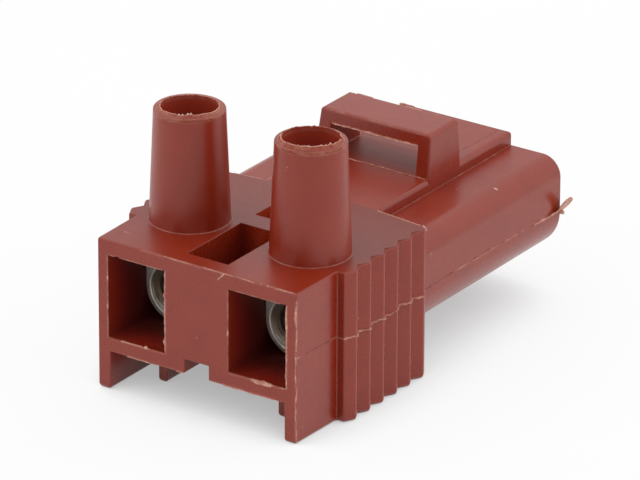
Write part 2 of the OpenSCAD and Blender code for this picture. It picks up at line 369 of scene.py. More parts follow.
def plated():
    """Dull grey plating over brass, with turning marks round the wire bore, painted glints on the lower
    part of its ring, and a browner mouth.
    """
    t = Shader("terminal_plating")
    place = t.coords()
    x, y, z = t.axes(place)
    aside = from_pole(t, x)
    above = t.minus(z, AXIS_Z)
    reach = t.length(aside, above)
    colour = t.mottle(place, 1.6, rgb(0.52, 0.505, 0.44), rgb(0.72, 0.700, 0.62), rough=0.65)
    mouth = t.remap(reach, COUNTERSINK_R, COUNTERSINK_R - 0.07)
    colour = t.mix(mouth, colour, rgb(0.25, 0.225, 0.165))
    # Painted highlight: bright streaky glints on the lower part of the ring round the mouth
    glint_ring = t.times(t.remap(above, 0.3, -1.2), t.remap(reach, COUNTERSINK_R + 0.25, COUNTERSINK_R))
    round_bore = t.add("ShaderNodeCombineXYZ", {0: t.times(reach, 9.0), 1: t.times(aside, 0.8)}).outputs[0]
    glint_streaks = t.remap(t.noise(round_bore, scale=1.0, detail=3, rough=0.6), 0.42, 0.60)
    colour = t.mix(t.times(glint_streaks, glint_ring, 0.8), colour, rgb(0.95, 0.92, 0.80))
    turned = t.add("ShaderNodeCombineXYZ", {0: t.times(reach, 16.0), 1: t.times(y, 16.0)}).outputs[0]
    normal = t.ripple(turned, 1.0, rough=0.5, strength=0.4, distance=0.010)
    return t.finish(base=colour, metallic=0.6, roughness=t.uneven(place, 7.0, 0.26, 0.46), normal=normal)


def bronze():
    """Rolled spring bronze, drawn along its length."""
    t = Shader("sleeve_bronze")
    colour = t.mottle(t.coords(), 1.2, rgb(0.50, 0.33, 0.15), rgb(0.66, 0.46, 0.24))
    rough = t.uneven(t.coords((8.0, 0.5, 8.0)), 1.0, 0.24, 0.40)
    normal = t.ripple(t.coords((16.0, 0.6, 16.0)), 1.0, rough=0.5, strength=0.3, distance=0.004)
    return t.finish(base=colour, metallic=1.0, roughness=rough, normal=normal)


def zinc():
    """Zinc-plated steel with a slightly cloudy film."""
    t = Shader("screw_zinc")
    colour = t.mottle(t.coords(), 2.0, rgb(0.50, 0.50, 0.49), rgb(0.66, 0.66, 0.64), rough=0.65)
    rough = t.uneven(t.coords(), 6.0, 0.24, 0.40)
    normal = t.ripple(t.coords((1.0, 1.0, 14.0)), 1.0, rough=0.5, strength=0.3, distance=0.005)
    return t.finish(base=colour, metallic=1.0, roughness=rough, normal=normal)


def flash_plastic(name, deep, pale, patches=2.6):
    """Thin flash of the same plastic, paler in patches where it is drawn thin."""
    t = Shader(name)
    place = t.coords()
    colour = t.mottle(place, patches, deep, pale, rough=0.7, soft=0.12)
    normal = t.ripple(place, 22.0, rough=0.6, strength=0.4, distance=0.006)
    return t.finish(base=colour, roughness=t.uneven(place, 8.0, 0.42, 0.60), normal=normal, ior=1.45)


def seam_plastic():
    """Hairline where two mould faces met: the same plastic, painted darker as the shade of the small step
    there.
    """
    t = Shader("seam_plastic")
    place = t.coords()
    colour = t.mottle(place, 1.4, rgb(0.11, 0.012, 0.004), rgb(0.17, 0.030, 0.015), detail=3, soft=0.2)
    normal = t.ripple(place, 18.0, rough=0.6, strength=0.3, distance=0.004)
    return t.finish(base=colour, roughness=0.85, normal=normal, ior=1.2)


PLASTIC = plastic()
PLATED = plated()
BRONZE = bronze()
ZINC = zinc()
FLASH = flash_plastic("flash_plastic", rgb(0.46, 0.160, 0.108), rgb(0.70, 0.38, 0.29))
BURR = flash_plastic("burr_plastic", rgb(0.27, 0.030, 0.010), rgb(0.36, 0.115, 0.062), patches=1.1)
CHIP = flash_plastic("chip_plastic", rgb(0.66, 0.38, 0.30), rgb(0.80, 0.56, 0.48))
SMEAR = flash_plastic("smear_plastic", rgb(0.34, 0.085, 0.048), rgb(0.43, 0.15, 0.10))
SEAM_SHADE = seam_plastic()


# Edges that turn by more than this many degrees are rounded
SHARP_ANGLE = 40
# Faces that turn by less than this many degrees are joined first, and points this near, in metres
FLAT_ANGLE = 0.3
WELD_GAP = 1e-7
# Widths of the rounding, and the housing's share of it where no rule says another
HOUSING_BEVEL = 0.5
HOUSING_SHARE = 0.18
TERMINAL_BEVEL = 0.07
SLEEVE_BEVEL = 0.04
SCREW_BEVEL = 0.06


def about(value, give=0.1):
    """A range round one value."""
    return (value - give, value + give)


def mirrored(x):
    """A range of X, moved to the other side."""
    return (-x[1], -x[0])


def both_sides(x, y, z, share):
    """A rule for the right side, and its mirror image for the left side."""
    return [(x, y, z, share), (mirrored(x), y, z, share)]


def housing_rules():
    """Shares of the rounding by where the middles of edges are: ranges of X, Y and Z, and the share."""
    anywhere = (-40, 40)
    foot = about(0, 0.02)
    front = about(0)
    top = about(BLOCK_TOP, 0.05)
    walls = (0.5, BLOCK_TOP - 0.15)
    teeth = (GRIP_START + 0.2, CORNER_Y + 0.1)
    rail = (BLOCK_DEPTH + 0.1, NOSE_END + 0.1)
    bridge = (BRIDGE_FRONT, BRIDGE_BACK)
    bridge_top = about(BRIDGE_TOP)
    bridge_bar = (-BRIDGE_TOP_HALF + 0.2, BRIDGE_TOP_HALF - 0.2)
    post = (BRIDGE_TOP_HALF - 0.1, RAIL_HALF + 0.1)
    post_front = (BRIDGE_FRONT - 0.05, BRIDGE_FRONT + BRIDGE_LEAN + 0.05)
    post_height = (BLOCK_TOP + 0.15, BRIDGE_TOP - 0.2)
    pocket = (-POCKET_HALF - 0.1, POCKET_HALF + 0.1)
    pockets = (POCKET_START - 0.4, CORE_START + 1)
    chamber = about(POLE_X, ENTRY_HALF + 0.1)
    chamber_middle = about(CHAMBER_DEPTH / 2, 1)
    return [
        # Bottoms of the skirts, a little sharper at the front
        (anywhere, anywhere, foot, 0.64),
        (anywhere, (-1, GRIP_START - 0.035), foot, 0.52),
        # Front face: left edge and top edge
        (about(-SIDE_FRONT), front, walls, 0.46),
        ((-SIDE_FRONT + 0.2, SIDE_FRONT - 0.2), front, top, 0.34),
        # Rail: top edges and foot
        *both_sides(about(RAIL_HALF), rail, top, 0.85),
        *both_sides(about(RAIL_HALF), rail, about(SHOULDER_Z), 0.08),
        # Bridge: right and left edges of its top, front and back edges, and front edges of its posts
        (about(BRIDGE_TOP_HALF), bridge, bridge_top, 0.72),
        (about(-BRIDGE_TOP_HALF), bridge, bridge_top, 0.30),
        (bridge_bar, about(BRIDGE_FRONT + BRIDGE_LEAN), bridge_top, 0.45),
        (bridge_bar, about(BRIDGE_BACK), bridge_top, 0.28),
        (post, post_front, post_height, 0.36),
        (mirrored(post), post_front, post_height, 0.16),
        # Teeth: ridges and top ends, and sharper valleys
        *both_sides((VALLEY_X - 0.05, RIDGE_X + 0.1), teeth, (0.5, BLOCK_TOP + 0.15), 0.32),
        *both_sides(about(VALLEY_X), teeth, walls, 0.06),
        # Back of the block, where the nose comes out a hair inside its corners
        ((-CORNER_X - 0.2, CORNER_X + 0.2), (CORNER_Y - 0.1, BLOCK_DEPTH + 0.1),
         (SKIRT_HEIGHT - 0.1, SHOULDER_Z + 0.1), 0.10),
        # Pockets in the top: rims, and inner corners, with the nose's core, left sharp
        (pocket, pockets, top, 0.10),
        (pocket, pockets, (ENTRY_SILL, BLOCK_TOP - 0.15), 0.0),
        # Lower corners of the wire entries, and backs of the terminals' chambers, left sharp
        *both_sides(chamber, chamber_middle, about(ENTRY_SILL), 0.0),
        ((-SIDE_FRONT, SIDE_FRONT), about(CHAMBER_DEPTH), (ENTRY_SILL - 0.4, ENTRY_HEAD + 0.2), 0.0),
        # Thin end of the groove
        (about(0, GROOVE_HALF + 0.1), (CORNER_Y - 0.6, BLOCK_DEPTH + 0.1), about(NOSE_BOTTOM, 0.05), 0.06),
    ]


def edge_rounding(name, plain, rules):
    """Node group that shades smooth and gives each sharp edge its share of the rounding: the plain share,
    or that of the last rule whose ranges hold the edge's middle."""
    group = bpy.data.node_groups.new(name, "GeometryNodeTree")
    for end in ("INPUT", "OUTPUT"):
        group.interface.new_socket("Geometry", in_out=end, socket_type="NodeSocketGeometry")
    g = Graph(group)
    angle = g.add("GeometryNodeInputMeshEdgeAngle").outputs["Unsigned Angle"]
    middle = g.axes(g.add("GeometryNodeInputPosition").outputs[0])
    share = plain
    for x, y, z, own in rules:
        ranges = (x, map(from_face, y), z)
        inside = [g.within(axis, *[v * MM for v in ends]) for axis, ends in zip(middle, ranges)]
        share = g.plus(share, g.times(*inside, g.minus(own, share)))
    weight = g.times(g.math("GREATER_THAN", angle, math.radians(SHARP_ANGLE)), share)
    smooth = g.add("GeometryNodeSetShadeSmooth", {0: g.add("NodeGroupInput").outputs[0]})
    sockets = {"Geometry": smooth.outputs[0], "Name": "bevel_weight_edge", "Value": weight}
    store = g.add("GeometryNodeStoreNamedAttribute", sockets, data_type="FLOAT", domain="EDGE")
    g.add("NodeGroupOutput", {0: store.outputs[0]})
    return group


def dress(node, material, width, group, segments=3):
    """Rounds a solid's edges by modifiers and gives it its material."""
    obj = frame["nodes"][node]
    obj.data.materials.clear()
    obj.data.materials.append(material)
    obj.modifiers.new("weld", "WELD").merge_threshold = WELD_GAP
    flat = obj.modifiers.new("flat", "DECIMATE")
    flat.decimate_type = "DISSOLVE"
    flat.angle_limit = math.radians(FLAT_ANGLE)
    obj.modifiers.new("weights", "NODES").node_group = group
    bevel = obj.modifiers.new("bevel", "BEVEL")
    bevel.width = width * MM
    bevel.segments = segments
    bevel.limit_method = "WEIGHT"
    bevel.use_clamp_overlap = False
    obj.modifiers.new("normals", "WEIGHTED_NORMAL").keep_sharp = False


housing_edges = edge_rounding("housing_edges", HOUSING_SHARE, housing_rules())
metal_edges = edge_rounding("metal_edges", 1.0, [])
dress("housing", PLASTIC, HOUSING_BEVEL, housing_edges)
for side in ("left", "right"):
    dress("terminal_" + side, PLATED, TERMINAL_BEVEL, metal_edges)
    dress("contact_sleeve_" + side, BRONZE, SLEEVE_BEVEL, metal_edges, segments=2)
    dress("clamp_screw_" + side, ZINC, SCREW_BEVEL, metal_edges)


# Length of a ridge's steps, the steps over which it rises at its ends, and corners round a speck
RIDGE_STEP = 0.11
RIDGE_ENDS = 3
SPECK_CORNERS = 9
# How far each ridge and each speck moves on in the noise
RIDGE_SEED_STEP = 7.3
SPECK_SEED_STEP = 3.1


def fine_steps(points):
    """Points along a polyline, about one step apart."""
    fine = []
    for a, b in zip(points, points[1:]):
        count = max(1, round((b - a).length / RIDGE_STEP))
        fine += [a.lerp(b, i / count) for i in range(count)]
    return fine + [points[-1]]


class Flash:
    """A piece of ragged flash on the housing: ridges and specks that stand on its faces and edges."""

    def __init__(self, name, material=FLASH):
        self.name = name
        self.material = material
        self.shape = bmesh.new()
        self.seed = float(sum(map(ord, name)))

    def ridge(self, points, outward, width, height, wander=0.0, broken=-1.0, sink=0.06):
        """A low wall along a polyline. It wanders sideways, and drops below the face where it is broken."""
        self.seed += RIDGE_SEED_STEP
        path = fine_steps(points)
        outward = Vector(outward).normalized()
        last = len(path) - 1
        rings = []
        run = 0.0
        for i, p in enumerate(path):
            ahead = path[min(i + 1, last)]
            behind = path[max(i - 1, 0)]
            run += (p - behind).length
            aside = (ahead - behind).normalized().cross(outward).normalized()
            whole = noise.noise((run * 0.55, self.seed, 5)) + 0.4 * noise.noise((run * 2.1, 3, self.seed))
            rise = -0.8 * sink
            if whole > broken:
                ragged = 0.75 + 0.9 * noise.noise((run * 1.7, self.seed, 0))
                ragged += 0.7 * noise.noise((run * 4.3, 0, self.seed))
                ends = min(1.0, i / RIDGE_ENDS, (last - i) / RIDGE_ENDS)
                rise = height * min(max(ragged, 0.2), 1.7) * ends
            half = width / 2 * (0.75 + 0.6 * noise.noise((run * 2.9, 9, self.seed)))
            drift = noise.noise((run * 0.8, self.seed, 2)) + 0.4 * noise.noise((run * 2.6, 2, self.seed))
            middle = p + aside * wander * drift
            lean = 0.3 * width * noise.noise((run * 3.7, 1, self.seed))
            section = [(-half, -sink), (lean - 0.35 * half, rise), (lean + 0.35 * half, 0.9 * rise),
                       (half, -sink)]
            rings.append([self.shape.verts.new(middle + aside * a + outward * b) for a, b in section])
        self.skin(rings)

    def speck(self, place, outward, along, size, height):
        """A small torn bit that stands on a face: long one way, with an uneven top."""
        self.seed += SPECK_SEED_STEP
        outward = Vector(outward).normalized()
        along = Vector(along).normalized()
        aside = outward.cross(along)
        rings = []
        for level, share in ((-0.05, 1.0), (0.45 * height, 0.85), (height, 0.35)):
            ring = []
            for k in range(SPECK_CORNERS):
                turn = 2 * math.pi * k / SPECK_CORNERS
                uneven = share * (1 + 0.45 * noise.noise((k * 1.9, level * 20, self.seed)))
                spot = along * math.cos(turn) * size[0] / 2 * uneven
                spot += aside * math.sin(turn) * size[1] / 2 * uneven
                ring.append(self.shape.verts.new(place + spot + outward * level))
            rings.append(ring)
        self.skin(rings)

    def skin(self, rings, loop=False):
        """Closes a row of rings into a solid, with ends or as a loop."""
        pairs = list(zip(rings, rings[1:]))
        if loop:
            pairs.append((rings[-1], rings[0]))
        for near, far in pairs:
            for k in range(len(near)):
                n = (k + 1) % len(near)
                self.shape.faces.new((near[k], near[n], far[n], far[k]))
        if not loop:
            self.shape.faces.new(rings[0])
            self.shape.faces.new(reversed(rings[-1]))

    def done(self):
        """Makes the piece, which moves with the housing."""
        bmesh.ops.recalc_face_normals(self.shape, faces=self.shape.faces)
        mesh = bpy.data.meshes.new(self.name)
        self.shape.to_mesh(mesh)
        self.shape.free()
        mesh.transform(Matrix.Scale(MM, 4))
        mesh.materials.append(self.material)
        obj = bpy.data.objects.new(self.name, mesh)
        bpy.context.scene.collection.objects.link(obj)
        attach(obj, "base")
        return obj


def grip_outline(sign):
    """The parting line's run over the step and the teeth of one side."""
    run = [(VALLEY_X, GRIP_START)]
    for i in range(RIDGE_COUNT):
        ridge_y = FIRST_RIDGE + i * GRIP_PITCH
        run.append((RIDGE_X, ridge_y))
        if ridge_y + GRIP_PITCH / 2 < CORNER_Y:
            run.append((VALLEY_X, ridge_y + GRIP_PITCH / 2))
    run.append((CORNER_X, CORNER_Y))
    return [at(sign * x, y, PARTING_Z) for x, y in run]


def nose_parting(sign):
    """The parting line's run along the nose, from the block to near the end."""
    run = [(CORNER_Y + 0.1, 6.36), (18, 6.42), (23.4, 6.40), (28.4, 6.26), (NOSE_END - 0.9, 6.2)]
    return [at(sign * NOSE_HALF, y, z) for y, z in run]


def side_flash(side, sign):
    """Flash on the parting line of one side, over the teeth and along the nose."""
    flash = Flash("flash_side_" + side)
    out = (sign, 0, 0)
    flash.ridge(grip_outline(sign), (sign, -0.3, 0), width=0.17, height=0.11, wander=0.20)
    step = [at(sign * x, GRIP_START, PARTING_Z) for x in (SIDE_BACK, VALLEY_X)]
    flash.ridge(step, (0, -1, 0), width=0.08, height=0.04, wander=0.03)
    front = [at(sign * SIDE_FRONT, 0.05, PARTING_Z + 0.12), at(sign * SIDE_FRONT, 0.4, PARTING_Z + 0.08)]
    flash.ridge(front, (sign, -0.3, 0.2), width=0.15, height=0.07)
    back = [at(sign * SIDE_BACK, 3.9, PARTING_Z + 0.05), at(sign * SIDE_BACK, GRIP_START, PARTING_Z)]
    flash.ridge(back, out, width=0.07, height=0.03)
    nose = nose_parting(sign)
    flash.ridge(nose[1:3], out, width=0.11, height=0.06, wander=0.06, broken=-0.45)
    thicker = [nose[1].lerp(nose[2], share) for share in (0.1, 0.28)]
    flash.ridge(thicker, out, width=0.18, height=0.07, wander=0.05)
    flash.ridge(nose[2:4], out, width=0.08, height=0.03, wander=0.05, broken=0.0)
    flash.ridge(nose[3:], out, width=0.24, height=0.14, wander=0.03)
    flash.done()


def hairlines():
    """Seams between mould faces: low ridges whose darker colour is painted shade of the small step there.
    """
    seams = Flash("seam_lines", SEAM_SHADE)
    for sign in (-1, 1):
        side = [at(sign * SIDE_FRONT, 0.3, PARTING_Z + 0.08),
                at(sign * (SIDE_BACK - 0.01), 4.0, PARTING_Z + 0.05)]
        seams.ridge(side, (sign, 0, 0), width=0.10, height=0.018, wander=0.03, sink=0.03)
        seams.ridge(nose_parting(sign), (sign, 0, 0), width=0.08, height=0.015, wander=0.04, sink=0.03)
        rail = [at(sign * WINDOW_HALF, BRIDGE_BACK, BLOCK_TOP), at(sign * 3.85, NOSE_END - 0.1, BLOCK_TOP)]
        seams.ridge(rail, UP, width=0.06, height=0.012, wander=0.03, sink=0.03)
    seams.done()


def front_flash():
    """Flash along the edges of the wire side's face."""
    flash = Flash("flash_front")
    corner = (0.75, -0.65, 0)
    top = (0, -0.7, 0.7)
    bottom = (0, -0.7, -0.7)
    right_edge = [at(SIDE_FRONT, 0, z) for z in (0.2, 10.6)]
    flash.ridge(right_edge, corner, width=0.10, height=0.04, wander=0.08, broken=-0.55, sink=0.12)
    right_top = [at(SIDE_FRONT, 0, z) for z in (9.0, 10.3)]
    flash.ridge(right_top, corner, width=0.16, height=0.05, wander=0.06, sink=0.12)
    top_edge = [at(x, 0, BLOCK_TOP) for x in (-4.6, SIDE_FRONT - 0.1)]
    flash.ridge(top_edge, top, width=0.09, height=0.012, wander=0.04, broken=-0.1, sink=0.14)
    left_foot = [at(x, 0, SKIRT_HEIGHT) for x in (-7.0, -1.1)]
    flash.ridge(left_foot, bottom, width=0.08, height=0.025, broken=0.1, sink=0.12)
    right_foot = [at(x, 0, SKIRT_HEIGHT) for x in (1.1, 7.0)]
    flash.ridge(right_foot, bottom, width=0.09, height=0.045, broken=-0.1, sink=0.12)
    for x, length in ((4.35, 0.16), (5.28, 0.10), (5.87, 0.14), (6.9, 0.10), (7.63, 0.18)):
        place = at(x, 0.02, BLOCK_TOP - 0.02)
        flash.speck(place, (0, -0.6, 0.8), (1, 0, 0), size=(length, 0.09), height=0.035)
    flash.speck(at(0.05, 0, 5.85), (0, -1, 0), (1, 0, 0.3), size=(0.13, 0.10), height=0.03)
    flash.done()


def entry_flash(side, sign):
    """Flash round one wire entry, with the torn bits on its edges and its sill."""
    flash = Flash("flash_entry_" + side)
    near = sign * POLE_X - ENTRY_HALF
    far = sign * POLE_X + ENTRY_HALF
    sill = ENTRY_SILL
    left_edge, right_edge = [[at(x, 0, z) for z in (sill, ENTRY_HEAD)] for x in (near, far)]
    lower_edge, upper_edge = [[at(x, 0, z) for x in (near, far)] for z in (sill, ENTRY_HEAD)]
    flash.ridge(left_edge, (0.5, -1, 0), width=0.06, height=0.018, broken=-0.8, sink=0.10)
    flash.ridge(right_edge, (-0.9, -0.5, 0), width=0.07, height=0.04, wander=0.04, broken=-0.5, sink=0.12)
    flash.ridge(upper_edge, (0, -1, -0.2), width=0.06, height=0.015, broken=-0.2, sink=0.10)
    flash.ridge(lower_edge, (0, -0.6, 0.8), width=0.08, height=0.035, wander=0.04, broken=0.0, sink=0.12)
    if side == "left":
        flash.speck(at(-4.2, 0.02, sill), (0, -0.3, 1), (1, 0, 0), size=(0.32, 0.18), height=0.15)
        torn = [at(x, 0.02, sill) for x in (-6.3, -4.4)]
        flash.ridge(torn, (0, -0.3, 1), width=0.12, height=0.06, sink=0.10)
        bits = ((near, 8.37, 0.40, 0.10), (near, 6.2, 0.50, 0.08), (far, 8.3, 0.35, 0.10),
                (far, 4.85, 0.40, 0.12))
    else:
        torn = [at(x, 0.03, sill) for x in (4.5, 6.2)]
        flash.ridge(torn, (0, -0.25, 1), width=0.22, height=0.11, sink=0.14)
        flash.speck(at(5.35, -0.01, sill - 0.12), (0, -1, 0), (1, 0, 0), size=(1.5, 0.30), height=0.03)
        bits = ((near, 6.8, 0.45, 0.07), (far, 9.1, 0.70, 0.07), (far, 4.9, 0.60, 0.06))
    inward = {near: (0.8, -0.6, 0), far: (-0.8, -0.6, 0)}
    for edge, z, length, height in bits:
        flash.speck(at(edge, 0, z), inward[edge], UP, size=(length, 0.12), height=height)
    flash.done()


def tower_foot(side, sign):
    """Thin broken line of flash round the foot of a tower, in two halves."""
    flash = Flash("flash_tower_foot_" + side)
    steps = 90
    ring = []
    for i in range(steps + 1):
        turn = 2 * math.pi * i / steps
        ring.append(at(sign * POLE_X + TOWER_BASE_R * math.cos(turn),
                       SCREW_Y + TOWER_BASE_R * math.sin(turn), BLOCK_TOP))
    for half in (ring[:steps // 2 + 1], ring[steps // 2:]):
        flash.ridge(half, UP, width=0.07, height=0.035, broken=-0.7, sink=0.04)
    flash.done()


# Towards the corner over which the burrs are highest
BURR_SIDE = Vector((0.562, -0.827, 0))
BURR_STEPS = 180
# Coats of the burr's faces round its section: 0 flash, 1 burr, 2 plastic. They are plainer on its far side
BURR_NEAR_COATS = (2, 2, 0, 0, 1, 1, 2, 2, 1, 1, 2)
BURR_FAR_COATS = (2, 2, 1, 1, 2, 2, 2, 2, 2, 2, 2)
BURR_FLAT_FACES = (0, 1, 10)
BURR_FAR_FACING = -0.25
# Degrees over which a piece is torn out at a notch
NOTCH_SPREAD = 6


def spoke_at(way):
    """The level direction at this many degrees."""
    turn = math.radians(way)
    return Vector((math.cos(turn), math.sin(turn), 0))


def burr_section(way, seed, heights, notch):
    """A burr's inner radius, its height and its section at one way round it. The section's points are
    distances from the tower's axis and heights over its top."""
    toward, beside, behind = heights
    spoke = spoke_at(way)
    facing = spoke.dot(BURR_SIDE)
    x = 3 * spoke.x
    y = 3 * spoke.y

    def lumps(pace, lane=0):
        return noise.noise((x * pace, y * pace, seed + lane))

    rise = beside + (toward - beside) * max(facing, 0) ** 1.5 + (behind - beside) * max(-facing, 0) ** 1.5
    crest = rise * (1 + 0.24 * (lumps(1) + 0.6 * lumps(3))) + 0.08 * lumps(5) + 0.06 * lumps(13)
    crest = max(crest, 0.03)
    inside = TOWER_HOLE_R - 0.012
    if notch is not None:
        torn = math.exp(-(((way - notch + 180) % 360 - 180) / NOTCH_SPREAD) ** 2)
        crest *= 1 - 0.6 * torn
        inside += 0.20 * torn
    outer = inside + 0.09 + 0.04 * lumps(5, 8)
    over = min(max((facing - 0.1) / 0.6, 0), 1)
    over *= over * (3 - 2 * over)
    foot = TOWER_HOLE_R + 0.33 + 0.05 * lumps(0.7, 4) + over * (0.21 + 0.05 * lumps(1.6, 6))
    slope = foot - outer
    hem = -0.07 * over
    fold = over * max(0.08 + 0.14 * lumps(1.3, 2), 0)
    section = [(TOWER_HOLE_R + 0.02, -0.2), (inside, -0.14), (inside, 0.85 * crest),
               (0.5 * (inside + outer), crest), (outer, 0.90 * crest),
               (outer + 0.35 * slope, 0.60 * crest), (outer + 0.60 * slope, 0.42 * crest),
               (outer + 0.68 * slope, 0.34 * crest - fold),
               (outer + 0.86 * slope, 0.24 * crest + 0.3 * hem),
               (foot, hem), (foot - 0.07, hem - 0.1)]
    return inside, crest, section


def tower_burr(side, sign, heights, grains, coat, notch=None):
    """Collar that the core pin drew up round a tower's bore, highest towards the wire side's right corner,
    where it hangs over the tower's own edge. Heights are those towards that corner, beside it and behind.
    Grains are the ways, in degrees, in which bits of the given coat stand on it. A notch is where a piece
    is torn out."""
    burr = Flash("burr_tower_" + side)
    bright = Flash("grains_tower_" + side, coat)
    centre = at(sign * POLE_X, SCREW_Y, TOWER_TOP)
    rings = []
    for i in range(BURR_STEPS):
        way = 360 * i / BURR_STEPS
        spoke = spoke_at(way)
        inside, crest, section = burr_section(way, burr.seed, heights, notch)
        rings.append([burr.shape.verts.new(centre + spoke * r + UP * h) for r, h in section])
        if way in grains:
            top = centre + spoke * (inside + 0.05) + UP * 0.9 * crest
            bright.speck(top, UP - 0.3 * spoke, (spoke.y, -spoke.x, 0), size=(0.15, 0.12), height=0.09)
    burr.skin(rings, loop=True)
    mesh = burr.done().data
    mesh.materials.append(BURR)
    mesh.materials.append(PLASTIC)
    for face in mesh.polygons:
        step, part = divmod(face.index, len(BURR_NEAR_COATS))
        facing = spoke_at(360 * step / BURR_STEPS).dot(BURR_SIDE)
        coats = BURR_NEAR_COATS if facing > BURR_FAR_FACING else BURR_FAR_COATS
        face.material_index = coats[part]
        face.use_smooth = part not in BURR_FLAT_FACES
    bright.done()


def rail_flash():
    """Flash along the rail and on the edges of the latch bridge."""
    flash = Flash("flash_rail")
    for sign in (-1, 1):
        foot = [at(sign * RAIL_HALF, y, SHOULDER_Z) for y in (BLOCK_DEPTH + 0.1, NOSE_END - 0.1)]
        flash.ridge(foot, (sign, 0, 1), width=0.07, height=0.03, wander=0.03, broken=0.0, sink=0.05)
    head_y = BRIDGE_FRONT + BRIDGE_LEAN * (WINDOW_TOP - BLOCK_TOP) / (BRIDGE_TOP - BLOCK_TOP)
    head = [at(x, head_y, WINDOW_TOP) for x in (-WINDOW_HALF, WINDOW_HALF)]
    flash.ridge(head, (0, -0.75, -0.65), width=0.13, height=0.06, wander=0.04, sink=0.12)
    sill = [at(-WINDOW_HALF, BRIDGE_FRONT + 0.06, BLOCK_TOP), at(RAIL_HALF - 0.3, BRIDGE_FRONT, BLOCK_TOP)]
    flash.ridge(sill, UP, width=0.10, height=0.06, wander=0.08, broken=-0.6)
    for ends in ((-3.9, -2.6), (0.2, 1.6), (2.5, 3.0)):
        back = [at(x, BRIDGE_BACK, BRIDGE_TOP) for x in ends]
        flash.ridge(back, (0, 0.6, 0.8), width=0.08, height=0.014, sink=0.12)
    inset = 0.065
    bar = [at(x, BRIDGE_FRONT + BRIDGE_LEAN + inset, BRIDGE_TOP - inset)
           for x in (-RAIL_HALF + 0.5, RAIL_HALF - 0.6)]
    flash.ridge(bar, (0, -0.7, 0.7), width=0.07, height=0.015, broken=0.1, sink=0.10)
    end = [at(x, NOSE_END, BLOCK_TOP) for x in (-RAIL_HALF + 0.1, -RAIL_HALF + 1.4)]
    flash.ridge(end, (0, 0.5, 0.85), width=0.10, height=0.03, sink=0.12)
    for sign in (-1, 1):
        step = [at(sign * RAIL_HALF, BLOCK_DEPTH, BLOCK_TOP),
                at(sign * (CORNER_X - 0.1), CORNER_Y, BLOCK_TOP)]
        flash.ridge(step, (0, 0.7, 0.7), width=0.06, height=0.010, broken=-0.1, sink=0.12)
    flash.done()


# The flake's run: middle of a section, and the way from there to its outer edge
TAIL = [
    (at(8.97, 29.70, 6.20), Vector((0.03, 0.00, 0.01))),
    (at(9.05, 30.50, 6.25), Vector((0.10, 0.00, 0.06))),
    (at(9.10, 31.15, 6.30), Vector((0.17, -0.10, 0.14))),
    (at(9.18, 31.60, 6.41), Vector((0.17, -0.40, 0.29))),
    (at(9.53, 31.78, 6.86), Vector((0.22, -0.55, 0.39))),
    (at(9.88, 31.95, 7.31), Vector((0.06, -0.34, 0.25))),
]
TAIL_STEPS = 8
# Share of its run after which the flake rounds off, and half its thickness
TAIL_TIP = 0.8
TAIL_HALF_THICKNESS = 0.03


def between(before, a, b, after, t):
    """A smooth run from a to b that fits its neighbours."""
    return 0.5 * (2 * a + (b - before) * t + (2 * before - 5 * a + 4 * b - after) * t ** 2
                  + (3 * a - before - 3 * b + after) * t ** 3)


def tail_flash():
    """Flake that peels off the parting line at the nose's end, twists up and ends in a round lobe."""
    flash = Flash("flash_tail")
    spans = len(TAIL) - 1
    last = spans * TAIL_STEPS
    rings = []
    for i in range(last + 1):
        k = min(i // TAIL_STEPS, spans - 1)
        t = i / TAIL_STEPS - k
        middles, halves = zip(*[TAIL[min(max(k + n, 0), spans)] for n in (-1, 0, 1, 2)])
        middle = between(*middles, t)
        ahead = between(*middles, t + 0.01) - middle
        half = between(*halves, t) * (1 + 0.12 * noise.noise((i * 0.35, 0, flash.seed)))
        late = max(0, (i / last - TAIL_TIP) / (1 - TAIL_TIP))
        half *= math.sqrt(max(0.02, 1 - late * late))
        thin = ahead.cross(half).normalized() * TAIL_HALF_THICKNESS
        corners = (middle - half - thin, middle + half - thin, middle + half + thin, middle - half + thin)
        rings.append([flash.shape.verts.new(v) for v in corners])
    flash.skin(rings)
    root = [at(NOSE_HALF, y, 6.2) for y in (29.9, NOSE_END - 0.04)]
    flash.ridge(root, (1, 0, 0.1), width=0.26, height=0.15)
    flash.done()


# Marks on the faces: place, outward way, long way, length and width, and height.
# Chips are bright ones, on the shoulder, the block's back corner, the front's top edge and the flake
CHIPS = [
    (at(8.06, 24.69, SHOULDER_Z - 0.12), (0.38, 0, 0.92), (0.84, 0.41, -0.35), (0.40, 0.18), 0.07),
    (at(9.02, 14.28, BLOCK_TOP - 0.08), (0.5, 0.3, 0.8), (0.84, -0.1, -0.53), (0.52, 0.17), 0.06),
    (at(2.15, 0.02, 10.93), (0, -0.8, 0.5), (0.7, 0, 0.7), (0.45, 0.13), 0.05),
    (at(1.88, 0, 10.68), (0, -1, 0), (0.6, 0, 0.7), (0.42, 0.07), 0.02),
    (at(NOSE_HALF + 0.16, 31.72, 6.10), (0.3, -0.75, 0.6), (1, 0.2, 0.1), (0.52, 0.36), 0.04),
]
SMEARS = [
    (at(-7.05, 1.85, BLOCK_TOP), (0, 0, 1), (1, -0.3, 0), (0.85, 0.20), 0.012),
]
